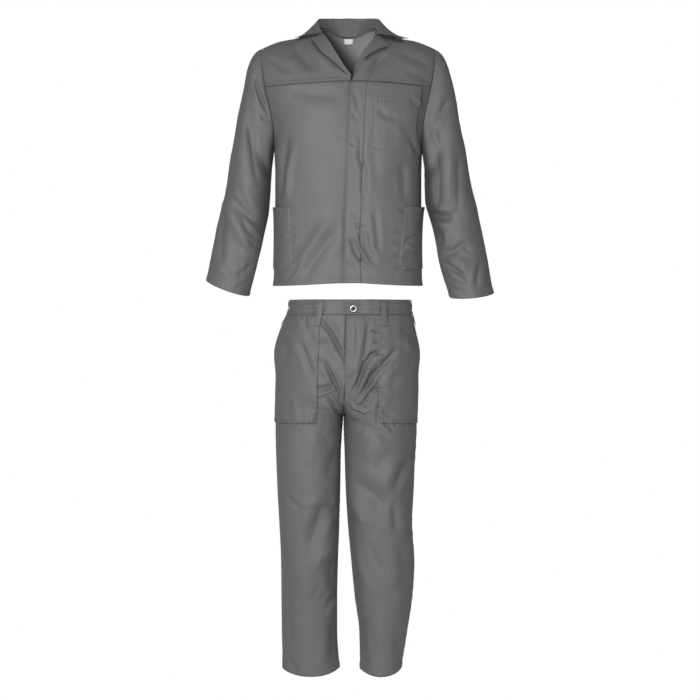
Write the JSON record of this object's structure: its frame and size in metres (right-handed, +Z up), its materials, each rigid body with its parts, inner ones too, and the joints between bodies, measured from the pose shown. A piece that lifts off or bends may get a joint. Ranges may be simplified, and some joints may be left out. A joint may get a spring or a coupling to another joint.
{
  "type": "two-piece work suit",
  "caption": "Plain twill work suit, hollow as when worn: a collared jacket with a concealed front closing, above its trousers with patch pockets and belt loops.",
  "frame": {"origin": "middle of the shoulder line at the base of the neck, where the wearer carries the jacket", "axes": "+Z up along the wearer, -Y to the wearer's front, +X to the wearer's left"},
  "size_m": [0.804, 0.291, 1.8465],
  "materials": {
    "jacket_cloth": "matte",
    "trousers_cloth": "matte",
    "label": "matte",
    "button": "satin"
  },
  "bodies": {
    "root": {"jacket_back": "jacket_cloth", "jacket_front_right": "jacket_cloth", "jacket_front_left": "jacket_cloth", "jacket_yoke_right": "jacket_cloth", "jacket_yoke_left": "jacket_cloth", "jacket_sleeve_right": "jacket_cloth", "jacket_sleeve_left": "jacket_cloth", "jacket_collar": "jacket_cloth", "jacket_lapel_right": "jacket_cloth", "jacket_lapel_left": "jacket_cloth", "jacket_placket": "jacket_cloth", "jacket_chest_pocket": "jacket_cloth", "jacket_chest_flap": "jacket_cloth", "jacket_hip_pocket_right": "jacket_cloth", "jacket_hip_pocket_left": "jacket_cloth", "jacket_neck_label": "label", "trousers_front_right": "trousers_cloth", "trousers_front_left": "trousers_cloth", "trousers_back_right": "trousers_cloth", "trousers_back_left": "trousers_cloth", "trousers_waistband": "trousers_cloth", "trousers_fly": "trousers_cloth", "trousers_pocket_right": "trousers_cloth", "trousers_pocket_left": "trousers_cloth", "trousers_loop_front_right": "trousers_cloth", "trousers_loop_front_left": "trousers_cloth", "trousers_loop_side_right": "trousers_cloth", "trousers_loop_side_left": "trousers_cloth", "trousers_loop_back": "trousers_cloth", "trousers_waist_button": "button"}
  },
  "joints": []
}
